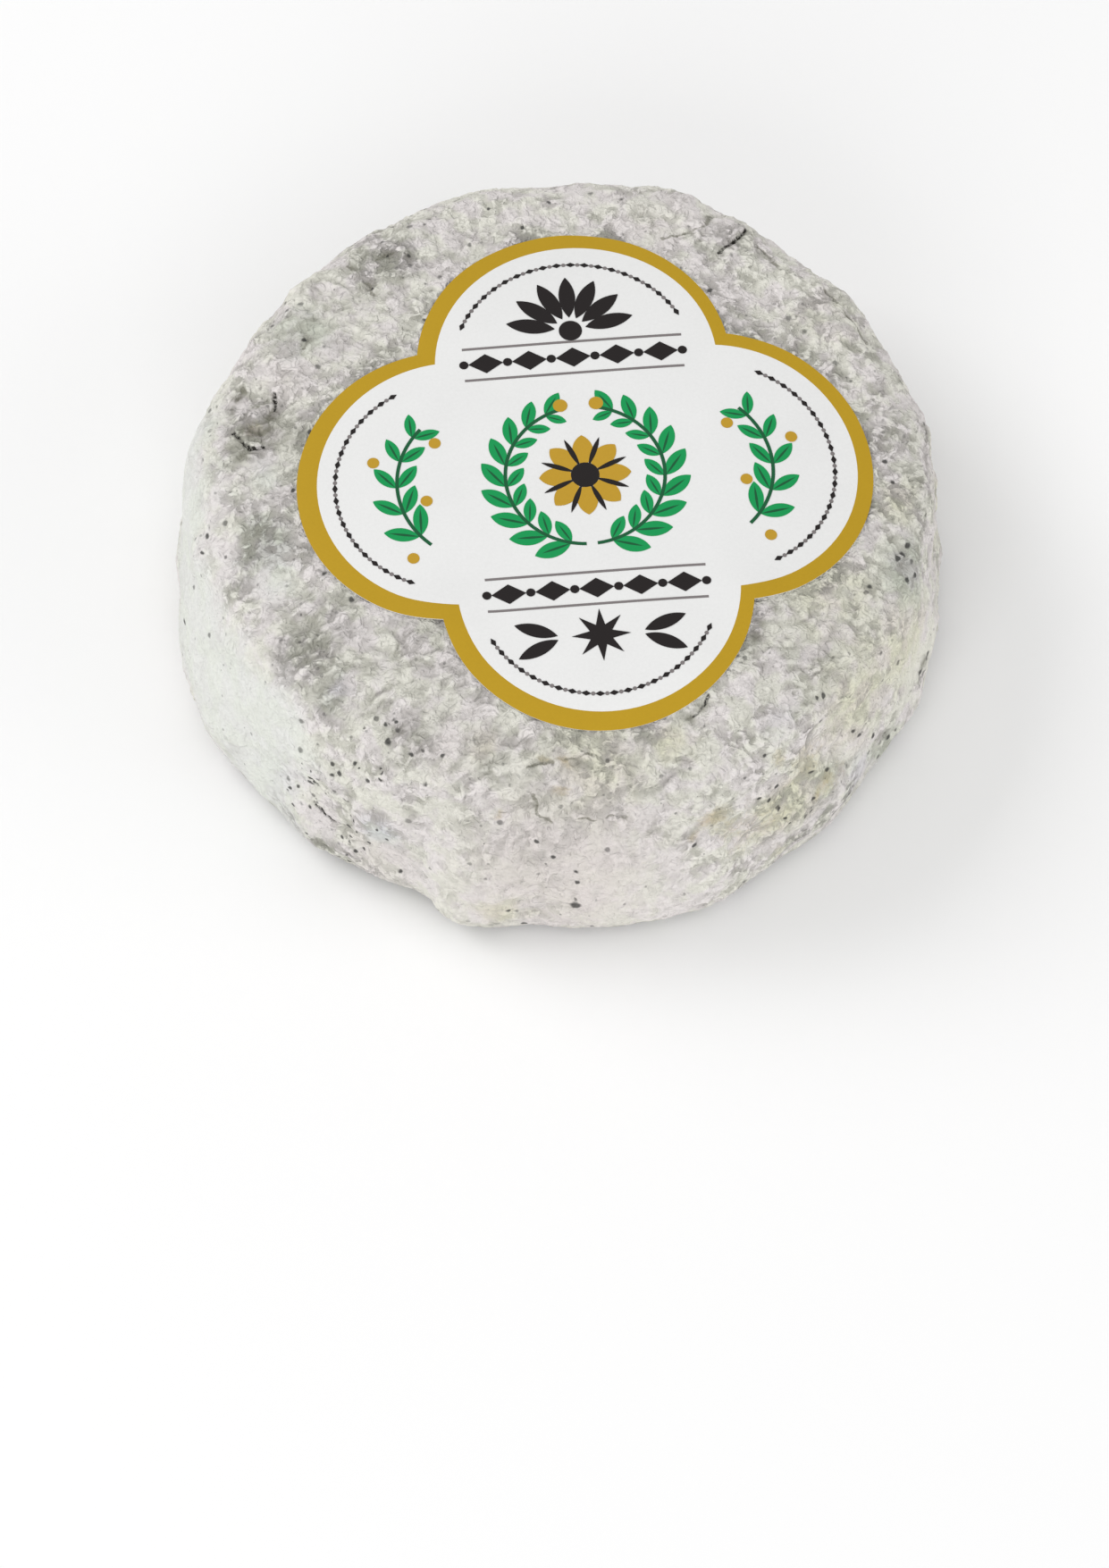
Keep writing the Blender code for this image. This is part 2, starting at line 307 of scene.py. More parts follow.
rind = {
    "mergeGap": 0.01,  # points nearer than this are one
    "underLabel": 1.0,  # the fine mesh starts this far under the label
    "fineFrom": 0.6,  # and above this height
    "edgeFade": (-0.3, 1.0),  # relief sets in over this stretch round the label
    "flankFade": (20.0, 18.0),  # and wherever it is lower than this
    "footFade": (0.3, 3.0),  # it fades out near the table
    "roaming": ((5.0, 2.2), (1.2, 0.5)),  # size and reach of the uneven edges
    "nearCrack": 0.9,  # and it is finer still this near to a crack
    "foldSize": 1.9,  # of the long folds, across them
    "foldRun": (0.80, 0.45, 0.40),  # the way they run
    "foldStretch": 0.48,  # how far they are drawn out that way
    "crumpleSize": 1.65,  # of the short folds
    "blobSize": 1.3,  # of the knobs between them
    "foldRise": 0.62,  # from furrow to crest, at most
    "lumpSize": 3.2,
    "lumpRise": 1.0,
    "heaveSize": 7.5,  # of the broad soft swellings
    "heaveRise": 0.8,
    "grainSize": 0.75,
    "grainRise": 0.34,
    "calmShare": 0.08,  # of the folds, on the smooth flank
    "plainShare": 0.42,  # and where nothing is noted
    "crackWidth": 0.42,
    "crackDepth": 0.38,
    "crackWander": (1.2, 0.3),  # cracks and dots are bent this way
    "creaseWander": (1.5, 0.6),
    "calm": [
        (-42, 0, 17, 14, 1), (-41, -10, 14, 15, 1), (-37.5, -19.5, 14, 15, 1), (-39, 14, 12, 15, 1),
        (-32.5, -25.5, 17, 11, 1), (-24, 36, 12, 14, 0.7), (-33, -26, 7, 12, 0.9), (-42, 9, 20, 10, 0.8),
        (8, -43, 9, 16, 0.5), (-12, -41, 9, 13, 0.45), (40, -12, 12, 12, 0.6), (33, -28, 8, 14, 0.6),
        (-31.5, -12, 26.8, 5, 0.5), (-33, 1, 26.8, 5, 0.5), (22, 38, 10, 20, 0.6), (-4, 43, 11, 19, 0.6),
        (41, 17, 9, 17, 0.5),
    ],
    "folded": [
        (-18, -25, 26.8, 15, 1), (-27, -19, 26.8, 11, 0.9), (-6, -34, 25, 14, 0.9), (-25, 22, 27, 13, 0.8),
        (-33, 6, 26.5, 10, 0.8), (12, -36, 22, 14, 0.7), (27, -22, 25.5, 12, 0.7), (-2, -40, 17, 12, 0.6),
        (22, 36, 16, 14, 0.7),
    ],
    "swells": [  # bumps and dents of the outline
        (24.8, 31.6, 25, 4.5, -0.6), (30.5, 28, 23, 5, 0.1), (13.5, 39.2, 25, 5, 0.7),
        (3, 40.5, 25, 6, 0.55), (-29.9, 26.9, 25, 6.5, 0.8), (-13.1, -42.4, 4, 4, 0.6),
        (42.9, 3.9, 14, 5, 0.6), (40.9, 12.9, 16, 4.5, -0.55), (-39.3, 15.5, 20, 4.5, -0.55),
        (-34.5, 9.5, 25.7, 2.7, 0.45), (-34.2, 6, 26.5, 1.4, 0.22), (-29, -32, 7, 3.5, 0.25),
    ],
    "cracks": [
        [(-36.6, 7.3, 26.1), (-36, 6.6, 26.3), (-35.3, 5.5, 26.5), (-34.6, 4.9, 26.6), (-33.2, 4.9, 26.7)],
        [(17.7, 30.7, 26.1), (19.6, 32.3, 25.9), (20.9, 34.3, 25)],
        [(-27.4, -31.8, 10.7), (-26.7, -32.3, 10.2), (-25.3, -33.5, 9.4)],
        [(-27.8, -30.9, 14.5), (-27, -31.4, 14.4)],
        [(-26.4, -33.6, 4.1), (-25.1, -34.5, 4.3)],
        [(-32, 11.8, 27), (-32, 11, 26.9), (-32.1, 9.9, 26.8)],
        [(16.6, -27.3, 27.1), (16, -28.2, 27), (15.3, -29.3, 26.9), (14.4, -30.3, 26.8)],
    ],
    "creases": [
        [(-32, 11, 26.9), (-32.1, 9.8, 26.6), (-32.5, 9.1, 26.5), (-32.4, 7.5, 26.6)],
        [(-35.2, 7.2, 26.4), (-34.3, 6.9, 26.5), (-32.4, 7, 26.6)],
        [(-35.7, 13.2, 25.4), (-35.2, 12.5, 25.6), (-36, 12.2, 25), (-36.5, 11.2, 24.8)],
        [(-34.5, 11.1, 25.6), (-33.8, 10.3, 25.9)],
        [(11.6, 32.4, 26.5), (13.9, 33.1, 26.2), (16.4, 34.3, 26.1), (16.6, 36.1, 25.3), (18, 36.1, 25.1)],
        [(21.5, 33.8, 24.9), (23.5, 31, 25.6), (25, 28.9, 25.7)],
        [(29.5, 26.4, 25.1), (31, 25.4, 24.7), (33, 22.4, 25), (34.5, 19.8, 24.4)],
        [(-3.1, -37.8, 22.9), (-2.7, -38.9, 21.5), (-1.1, -40.1, 20.4)],
        [(-3.6, -35.4, 25.2), (-1.5, -34.9, 25.5), (1.4, -34.6, 25.7), (3.5, -34.2, 25.9)],
        [(2.2, -39.6, 20.6), (4.2, -39.3, 20.3), (7.4, -39.2, 20.3)],
        [(14.4, -30.3, 26.8), (13.2, -30.8, 26.8), (12.6, -33, 26)],
        [(-20.6, 29.8, 26.6), (-18.3, 30.3, 26.8)],
        [(-24.2, 29.5, 25.7), (-22.9, 28.4, 26.2)],
        [(-21.9, 26.6, 26.5), (-20.6, 25, 26.7)],
        [(-28.4, 19.8, 27), (-28.7, 17.4, 27.2)],
    ],
    "dots": [  # single dark dots, with their radius; those at heights 27 to 27.5 just beside the label's edge are painted shadows where the paper stands off the rind
        (-2.5, -40.9, 18.2, 0.32), (-0.7, -41.8, 16.6, 0.24), (1.8, -42.3, 13.9, 0.26),
        (2, -42.9, 12.4, 0.3), (1.7, -43.6, 8.5, 0.7), (14.9, -39.6, 15, 0.4), (-5.7, -43.2, 6.7, 0.34),
        (-3.9, -42.6, 2.8, 0.4), (-39.5, -4.8, 23.6, 0.38), (-40, -6.3, 22.5, 0.34),
        (-42.1, -9.4, 12.5, 0.4), (41.3, -12.1, 10, 0.44), (40.4, -14.1, 9.4, 0.5), (34.9, -23, 10.6, 0.38),
        (36.7, -20.8, 6.6, 0.34), (33.5, -24.7, 13.6, 0.42), (38.8, -10, 22.8, 0.4), (38.3, -7, 23.6, 0.42),
        (22.8, -33.1, 23.6, 0.32), (28, -31, 16.3, 0.36), (-19.4, -30.2, 25.7, 0.28),
        (-18.2, -30, 25.9, 0.26), (-19.1, -32.2, 25, 0.42), (-13, -34.3, 25.5, 0.3),
        (-16.6, -33.7, 24.8, 0.28), (-14.9, -36.4, 22.9, 0.32), (-17.8, -38, 6.3, 0.32),
        (-27.7, -30.9, 13.8, 0.38), (-28.8, -30.1, 16.3, 0.28), (-25.3, -32.6, 18.3, 0.34),
        (-24.4, -32.7, 19, 0.38), (6, 43, 16, 0.4), (-12, 42, 11, 0.34), (30, 31, 12, 0.4),
        (-33, 27, 9, 0.36), (41, 10, 17, 0.34), (18, 39, 5, 0.42), (-28.9, -30, 16.1, 0.25),
        (-27.7, -31.1, 16.3, 0.22), (-25.4, -31.9, 19.6, 0.3), (-21.3, -36.2, 9.5, 0.25),
        (-22.8, -32.7, 21.1, 0.3), (-22.3, -33.2, 20.7, 0.2), (-21.4, -34.2, 19.8, 0.3),
        (-26, -32.3, 17.1, 0.2), (-29.1, -30.2, 11.6, 0.3), (-30, -29.6, 10.5, 0.26),
        (-29.6, -30.8, 8.6, 0.3), (-27.8, -31.8, 9.9, 0.28), (-23.2, -34.4, 12.5, 0.2),
        (-22.9, -34.7, 11.8, 0.28), (-23.6, -34.5, 10, 0.36), (-22.7, -35.2, 10.1, 0.25),
        (-24.3, -34.4, 7.9, 0.25), (-23.3, -35, 8.7, 0.3), (-23.3, -35, 7.8, 0.28),
        (-22.8, -35.5, 6.5, 0.36), (-21.8, -36, 7.8, 0.3), (-23.8, -35.3, 5.2, 0.25),
        (-25.1, -34.5, 4.3, 0.32), (-23.5, -35.1, 3.8, 0.34), (-19.2, -37.1, 11.8, 0.3),
        (-20.3, -36.8, 13.5, 0.25), (-20, -34, 21.9, 0.25), (-28.3, -32.4, 5.3, 0.25),
        (-19.8, -34.2, 21.7, 0.34), (-20, -34.6, 20.9, 0.26), (32.6, -25.1, 15.3, 0.34),
        (29.9, -29.3, 13.9, 0.3), (24, -33.9, 18.2, 0.36), (23.2, -34.9, 17, 0.34),
        (22.3, -35.6, 18.2, 0.26), (24.2, -34.3, 14.1, 0.3), (24.9, -34.1, 11.9, 0.26),
        (25.5, -34, 10.4, 0.24), (28, -32.1, 9.6, 0.26), (28.3, -31.9, 11.6, 0.34),
        (22.5, -34.5, 21.6, 0.24), (29.3, -26, 24.6, 0.34), (28.6, -26.5, 25, 0.3),
        (34.5, -11.8, 24.5, 0.32), (37.7, -7.7, 23.9, 0.4), (38.8, -5.7, 23.2, 0.4), (39.5, -9, 22, 0.34),
        (36.2, 4.1, 24.7, 0.34), (37.1, 1.6, 24.5, 0.3), (-29.7, -1, 27.2, 0.34),
        (-26.2, -11.9, 27.4, 0.34), (-23.2, -15.3, 27.5, 0.4), (-27.8, 6.3, 27.5, 0.36),
        (16.9, 25.3, 27, 0.36), (-27.6, -31.1, 14.3, 0.4), (-4.7, -43.2, 6.2, 0.34), (-8, 36.6, 26, 0.26),
        (-4.2, 33.8, 26.3, 0.28), (-1.2, 37.4, 26, 0.32), (-14.7, 35.7, 25.3, 0.28),
        (-28.6, 18.7, 27.1, 0.32), (-19.4, 29.9, 26.8, 0.28), (-16.9, 29.7, 26.9, 0.24),
        (-21, 25.7, 26.6, 0.26),
    ],
    "labelShadeReach": 3.4,  # the rind is painted darker this near to the label: painted shade along its edge
    "markReach": 1.0,  # marks are drawn this near their place at most
    "paintedShadows": [  # small brownish painted shadows, under the label's lifted notches and edges and round the blister's rim
        (-35.4, 7.4, 26.3, 0.9, 0.8), (-34.6, 7, 26.4, 1.3, 1), (-33.6, 6.9, 26.5, 1.3, 1),
        (-32.6, 7.1, 26.6, 1.5, 1), (-32.4, 8.4, 26.6, 1.5, 1), (-32.2, 9.7, 26.6, 1.1, 0.9),
        (-36.1, 12, 25.1, 1.1, 0.9), (-35.5, 12.9, 25.5, 0.9, 0.8), (-36.6, 11, 24.9, 1, 0.7),
        (-36.9, 5, 26, 1.5, 0.5), (-35.6, 3.8, 26.4, 1.6, 0.5), (-17.9, -31, 25.8, 1.3, 0.6),
        (19.2, 31.9, 26, 1.2, 0.4), (20.9, 34.3, 25, 1, 0.6), (16.5, 35.2, 25.7, 1, 0.5),
        (-2.9, -38.5, 22, 0.9, 0.7), (-8, -36, 24, 1.4, 0.4), (2, -35.2, 25.4, 1.2, 0.5),
        (40.8, -13.1, 9.7, 1.4, 0.7), (35.8, -21.9, 8.6, 1.5, 0.5), (38.6, -8.5, 23.2, 1.4, 0.6),
        (24, -16.2, 27.4, 1.3, 0.8), (21.9, -19.8, 27.4, 1.5, 0.8), (22.4, -17.9, 27.4, 1.1, 0.8),
        (15.8, -28.6, 27, 1.2, 0.9), (14.2, -30.2, 26.9, 1.3, 0.9), (8, -33.4, 26.8, 1.3, 0.6),
        (-19.4, 30, 26.7, 1.2, 0.6), (-23.5, 29, 26, 1.1, 0.6), (-21.2, 25.8, 26.6, 1.1, 0.6),
        (-16.9, 29.7, 26.9, 0.9, 0.5), (-14.7, 35.7, 25.3, 1.1, 0.5), (-28.5, 18.6, 27.1, 1.2, 0.6),
        (-22, 31.5, 25.5, 1.2, 0.4), (-27.6, 21.6, 26.9, 1, 0.4),
    ],
    "zones": {  # where each of the finish's colours lies
        # grey mould, and painted shade in the same grey: beside the label's edges, and on the front right
        # flank, which faces away from the light
        "mouldAndShade": [
            (-20, 29.5, 26.7, 6.5, 1), (-34.6, 9, 26, 5, 0.9), (-34.4, 4.6, 26.6, 4, 0.6),
            (-28.9, -21.5, 25.9, 6, 1), (-32.8, -6.1, 26.1, 4.5, 0.9), (-15.7, -32.7, 25.6, 5, 0.5),
            (19.6, 32.1, 25.9, 5.5, 0.6), (38.5, 0.9, 24, 6, 0.5), (37.5, 8.8, 24.3, 5, 0.35),
            (-24.8, -17.4, 27.5, 5, 0.5), (-25.8, -26.5, 25.2, 5, 0.6), (31, -29.5, 7, 13, 0.4),
            (-33, 0, 26.5, 10, 0.35), (-29.5, 8, 27.3, 4.5, 0.5), (-22.8, 33.5, 23.5, 4.5, 0.6),
            (12, -42, 12, 11, 0.25), (29, -31, 14.5, 6, 0.4), (-31, -28.8, 5.6, 5, 0.5),
            (18.9, 18.5, 27.4, 4, 0.4), (29.5, 23, 25.9, 5, 0.4), (-6.7, -34.2, 25.5, 4, 0.4),
            (27, -33, 5.6, 3.4, 1), (29.8, -31, 6.2, 3.6, 1), (32.4, -28.2, 7.6, 3.2, 1),
            (36, -21.6, 7.4, 3, 0.7), (40.2, -14, 8.5, 2.5, 0.9), (-29.8, -30.6, 5, 3, 0.7),
            (-26.5, -33.3, 3.4, 3, 0.8), (-6.7, -43.2, 3.8, 2.8, 0.5), (-34.5, -8, 25.2, 4, 0.7),
            (-35.3, -11.8, 24.2, 3.5, 0.6), (26, -32.5, 12, 7, 0.4), (13.5, -40, 16, 4, 0.35),
            (4, -35, 25.5, 12, 0.25), (26.5, -33, 15, 10, 0.25), (36, 6, 25, 12, 0.22),
            (15.9, 31.5, 26.3, 3, 0.5), (31.3, 6.3, 25.7, 3, 0.5), (8, 41, 14, 8, 0.7),
            (-18, 39, 18, 6, 0.6), (34, 24, 9, 8, 0.6),
        ],
        "sage": [
            (-28.6, 19.9, 27, 6, 0.9), (-32.5, -7.4, 26, 6.5, 1), (38.8, -9, 23, 7, 0.9),
            (29.5, -30.6, 12.2, 6, 0.5), (-26, -31.5, 17, 6, 0.4), (36, -22, 5, 7, 0.7),
            (-29, -31, 4, 8, 0.6), (-38, 16, 6, 8, 0.4), (20, 36, 8, 8, 0.6),
        ],
        "cream": [
            (1.5, -34.4, 25.9, 2.6, 1), (38.5, -15.5, 18.2, 11, 0.8), (33.5, -23.3, 19.7, 12, 0.8),
            (26, -33, 14, 10, 0.9), (-5.7, -43.2, 6.7, 4, 1), (30, -14, 26, 11, 0.6),
            (4, -35, 25.5, 10, 0.7), (41, 4, 14, 10, 0.7), (30, 22, 25, 7, 0.4), (-6, 42, 10, 8, 0.5),
            (37.5, -0.4, 24.2, 5, 0.7), (12.6, -32.4, 25.7, 4, 0.9), (-8.2, -32.9, 25.9, 3, 0.9),
        ],
        "ochre": [
            (17.4, -38.5, 17.9, 3.4, 0.9), (15.4, -39.3, 16.3, 2, 0.8), (29.5, -30.6, 12.2, 2.6, 0.7),
            (-0.7, -37.5, 23.7, 1.6, 0.8), (-34.4, 7.4, 26.2, 2, 0.7), (24.5, -34.9, 5.6, 2, 0.5),
            (-4, 43, 12, 2.4, 0.6), (-1.5, -34.9, 25.5, 1.3, 0.8), (0.6, -34.6, 25.6, 1.3, 0.9),
            (-7.1, -38.9, 20.4, 1.4, 0.7), (28.3, -31.9, 11.6, 1.6, 0.8), (24.5, -32.8, 22.1, 2, 0.6),
            (27, -31, 18, 5, 0.5), (22, -35, 14, 9, 0.4), (18.5, -37.5, 15.5, 3, 0.6),
            (31.5, -28.5, 12.5, 2.5, 0.5),
        ],
        "rose": [
            (0, -43, 14, 20, 1), (-20, -37, 8, 9, 0.7), (-12, -33, 25, 8, 0.5), (-31, 14, 26.5, 7, 0.5),
            (10, 34, 26, 8, 0.4), (31, -27.5, 16, 5, 0.8), (33, -25.7, 11.7, 4, 0.7),
            (-28, -6, 27.2, 5, 0.6),
        ],
        "cold": [
            (-20.3, -36.9, 13, 4.5, 1), (-31.5, -27.5, 11, 6, 0.8), (34, -27, 9, 5, 0.6),
            (-25, -26, 25, 4, 0.6), (-36, -18, 17, 6, 0.4), (24, -30, 24.5, 4, 0.5),
        ],
        # the back of the top is painted lighter here: a painted pool of light
        "light": [
            (-27, 23, 26.5, 15, 1), (0, 38, 25.5, 15, 1), (25, 29, 26, 14, 0.9), (-14, 33, 26.5, 12, 0.7),
            (13, 34, 26.5, 12, 0.7),
        ],
        "dirty": [  # where dark specks gather
            (-28.9, -21.5, 25.9, 4, 0.9), (-30, -30, 9, 3.5, 0.8), (-25, -34.2, 3.5, 3, 1),
            (-27.5, -31.3, 12, 8, 1), (-23, -35, 7, 5, 0.8), (-18.5, -31, 25.6, 6, 0.5),
            (36, -21.5, 10, 7, 0.6), (25, -33.5, 16, 6, 0.6), (38.5, -9, 23, 5, 0.7),
            (-19, 28, 26.9, 5, 0.7), (19, 34, 25.5, 6, 0.4), (12, 40, 8, 9, 0.6),
        ],
    },
}

print("rind: shaping the mesh")


def pastLabel(places):  # how far places lie outside the label's edge
    away = [np.hypot(places[:, 0] - x, places[:, 1] - y) for x, y in lobeMiddles]
    return np.min(away, axis=0) - label["lobeRadius"]


def fromLines(places, rows):  # how far places lie from the nearest row of points
    nearest = np.full(len(places), np.inf)
    for points in rows:
        for start, end in zip(points, points[1:]):
            run = np.subtract(end, start)
            share = np.clip((places - start) @ run / (run @ run), 0.0, 1.0)
            nearest = np.minimum(nearest, np.linalg.norm(places - start - share[:, None] * run, axis=1))
    return nearest


def shapeRind():
    mesh = frame["nodes"]["cheese"].data.copy()
    piece = bpy.data.objects.new("rind", mesh)
    bpy.context.scene.collection.objects.link(piece)
    piece.data.materials.clear()
    takeUp(piece)
    bpy.ops.mesh.customdata_custom_splitnormals_clear()
    openUp(piece)
    pickAll()
    bpy.ops.mesh.remove_doubles(threshold=rind["mergeGap"] * mm)
    bpy.ops.mesh.tris_convert_to_quads(face_threshold=radians(60), shape_threshold=radians(60))
    closeUp()
    addModifier(piece, "SUBSURF", levels=1, render_levels=1)
    form = bpy.data.objects.new("rindForm", piece.data.copy())
    bpy.context.scene.collection.objects.link(form)

    def isFine(places):
        shows = (places[:, 2] < label["topFrom"]) | (pastLabel(places) > -rind["underLabel"])
        return shows & (places[:, 2] > rind["fineFrom"])

    def isCracked(places):
        return fromLines(places, rind["cracks"] + rind["creases"]) < rind["nearCrack"]

    pickFaces(piece, isFine)
    bpy.ops.mesh.subdivide(number_cuts=2, smoothness=0.0)
    closeUp()
    pickFaces(piece, isCracked)
    bpy.ops.mesh.subdivide(number_cuts=1, smoothness=0.0)
    closeUp()
    return piece, form


def foldPattern(bench, place, folded):  # 0 in the furrows, 1 on the folds
    bent = bench.wander(place, 4.0, 1.2)
    run = Vector(rind["foldRun"]).normalized()
    long = bench.crumple(bench.drawOut(bent, tuple(run), rind["foldStretch"]), rind["foldSize"], 2.0)
    short = bench.crumple(bent + (17.0, 5.0, 11.0), rind["crumpleSize"], 3.0)
    blobs = bench.fade(bench.noise(bent + (2.0, 23.0, 5.0), rind["blobSize"], 3.0), 0.34, 0.66)
    short = bench.fade(short * 0.45 + blobs * 0.55, 0.14, 0.80)
    return short + (long - short) * folded


def foldRind(piece):
    tree = bpy.data.node_groups.new("rindFolds", "GeometryNodeTree")
    for side in ("INPUT", "OUTPUT"):
        tree.interface.new_socket("Geometry", in_out=side, socket_type="NodeSocketGeometry")
    bench = Bench(tree)
    place = bench.node("GeometryNodeInputPosition") * (1 / mm)
    normal = bench.node("GeometryNodeInputNormal")
    height = bench.node("ShaderNodeSeparateXYZ", None, {0: place}, 2)

    # Where folds may be
    flat = place * (1.0, 1.0, 0.0)
    fromLabel = None
    for x, y in lobeMiddles:
        away = bench.distance(flat, (x, y, 0.0)) - label["lobeRadius"]
        fromLabel = away if fromLabel is None else bench.least(fromLabel, away)
    clearOfLabel = bench.fade(fromLabel, *rind["edgeFade"])
    clearOfLabel = bench.most(clearOfLabel, bench.fade(height, *rind["flankFade"]))
    clearOfTable = bench.fade(height, *rind["footFade"])
    roaming = place
    for size, reach in rind["roaming"]:
        roaming = bench.wander(roaming, size, reach)
    calm = bench.patches(roaming, rind["calm"])
    folded = bench.patches(roaming, rind["folded"])
    broken = bench.fade(bench.noise(place, 2.4, 1.0), 0.36, 0.62) * 0.6 + 0.4
    share = (folded * (1 - rind["plainShare"]) + rind["plainShare"]) * (1 - calm * (1 - rind["calmShare"]))

    # Folds, lumps, grain and cracks
    crest = foldPattern(bench, place, folded)
    lumps = bench.noise(place, rind["lumpSize"], 2.0)
    heaves = bench.noise(place + (3.0, 14.0, 8.0), rind["heaveSize"], 1.0)
    grain = bench.noise(place, rind["grainSize"], 2.0)
    torn = bench.wander(place, *rind["crackWander"])
    bent = bench.wander(place, *rind["creaseWander"])
    dots = []
    for x, y, z, radius in rind["dots"]:
        dots.append(bench.node("GeometryNodePoints", None, {"Position": (x, y, z), "Radius": radius}))
    dots = bench.gather(dots)
    near = {
        "crack": bench.nearest(bench.threads(rind["cracks"]), torn, "EDGES"),
        "crease": bench.nearest(bench.threads(rind["creases"]), bent, "EDGES"),
        "dot": bench.nearest(dots, torn, "POINTS"),
    }
    crack = bench.fade(near["crack"].beside(1), rind["crackWidth"], 0.0)
    crease = bench.fade(near["crease"].beside(1), rind["crackWidth"], 0.0)
    which = bench.node("GeometryNodeSampleNearest", None, {"Geometry": dots, "Sample Position": torn})
    asked = {"Geometry": dots, "Value": bench.node("GeometryNodeInputRadius"), "Index": which}
    rise = (crest - 0.6) * share * broken * rind["foldRise"]
    rise = rise + (lumps - 0.5) * (1 - calm * 0.6) * rind["lumpRise"]
    rise = rise + (heaves - 0.5) * (1 - calm * 0.5) * rind["heaveRise"]
    rise = rise + (grain - 0.5) * (1 - calm * 0.5) * rind["grainRise"]
    rise = rise + bench.patches(place, rind["swells"], "ADD")
    rise = (rise - (crack + crease * 0.5) * rind["crackDepth"]) * clearOfLabel * clearOfTable

    # What the finish reads
    kept = {
        "rest": place,
        "calm": calm,
        "folded": folded,
        "dotRadius": bench.node("GeometryNodeSampleIndex", None, asked),
        "dotNumber": which,
        # where the brownish painted shadows lie, kept for the finish
        "paintedShadow": bench.patches(torn, rind["paintedShadows"]),
    }
    for name, spot in near.items():
        kept[name] = spot
        kept[name + "Away"] = spot.beside(1)
    for name, rounds in rind["zones"].items():
        kept[name] = bench.patches(roaming, rounds)
    # painted shade on the rind along the label's edge, put in with the mould's grey
    shadeByLabel = bench.fade(fromLabel, rind["labelShadeReach"], 0.0) * bench.fade(height, 20.0, 24.0)
    shadeByLabel = shadeByLabel * bench.fade(bench.noise(place, 5.0, 1.0), 0.40, 0.70)
    kept["mouldAndShade"] = bench.most(kept["mouldAndShade"], shadeByLabel * 0.8)
    shape = bench.node("NodeGroupInput")
    for name, value in kept.items():
        settings = {"data_type": "FLOAT_VECTOR" if isWide(value) else "FLOAT", "domain": "POINT"}
        sockets = {"Geometry": shape, "Name": name, "Value": value}
        shape = bench.node("GeometryNodeStoreNamedAttribute", settings, sockets)
    raised = {"Geometry": shape, "Offset": normal * (rise * mm)}
    bench.node("NodeGroupOutput", None, {0: bench.node("GeometryNodeSetPosition", None, raised)})
    addModifier(piece, "NODES", node_group=tree)
    bpy.data.node_groups.remove(tree)


rindFinish = {
    "crest": (230, 227, 223),
    "furrow": (153, 151, 144),
    "calm": (223, 225, 220),
    "mouldAndShade": (128, 127, 123),
    "sage": (188, 193, 184),
    "cold": (204, 209, 216),
    "cream": (219, 216, 194),
    "ochre": (184, 170, 134),
    "rose": (217, 210, 206),
    "speck": (66, 66, 64),
    "crack": (52, 50, 46),
    "crease": (134, 132, 120),
    "paintedShadow": (114, 112, 100),
    "washes": (("rose", 0.6), ("cream", 0.75), ("sage", 0.7), ("cold", 0.6)),  # soft tints and their strength
    "cloudSize": 2.6,  # of the unevenness of every colour
    "patchSize": 3.2,  # of the patches of dark furrows
    "dustSize": 0.42,
    "pitSize": 0.85,
    "paleFrom": (-12.0, -26.0),  # left of this the flank is pale
    "foot": (2.8, 0.4),  # the base is darker
    "specks": {"ash": (0.8, 0.22), "grit": (1.7, 0.38)},  # how far apart, and their radius
    "crackWidth": 0.25,
    "creaseWidth": 0.22,
    "frayed": (0.4, 0.08, 0.12),  # size of the frayed edges, their reach on cracks and on creases
    "bumpRise": 0.38,
}


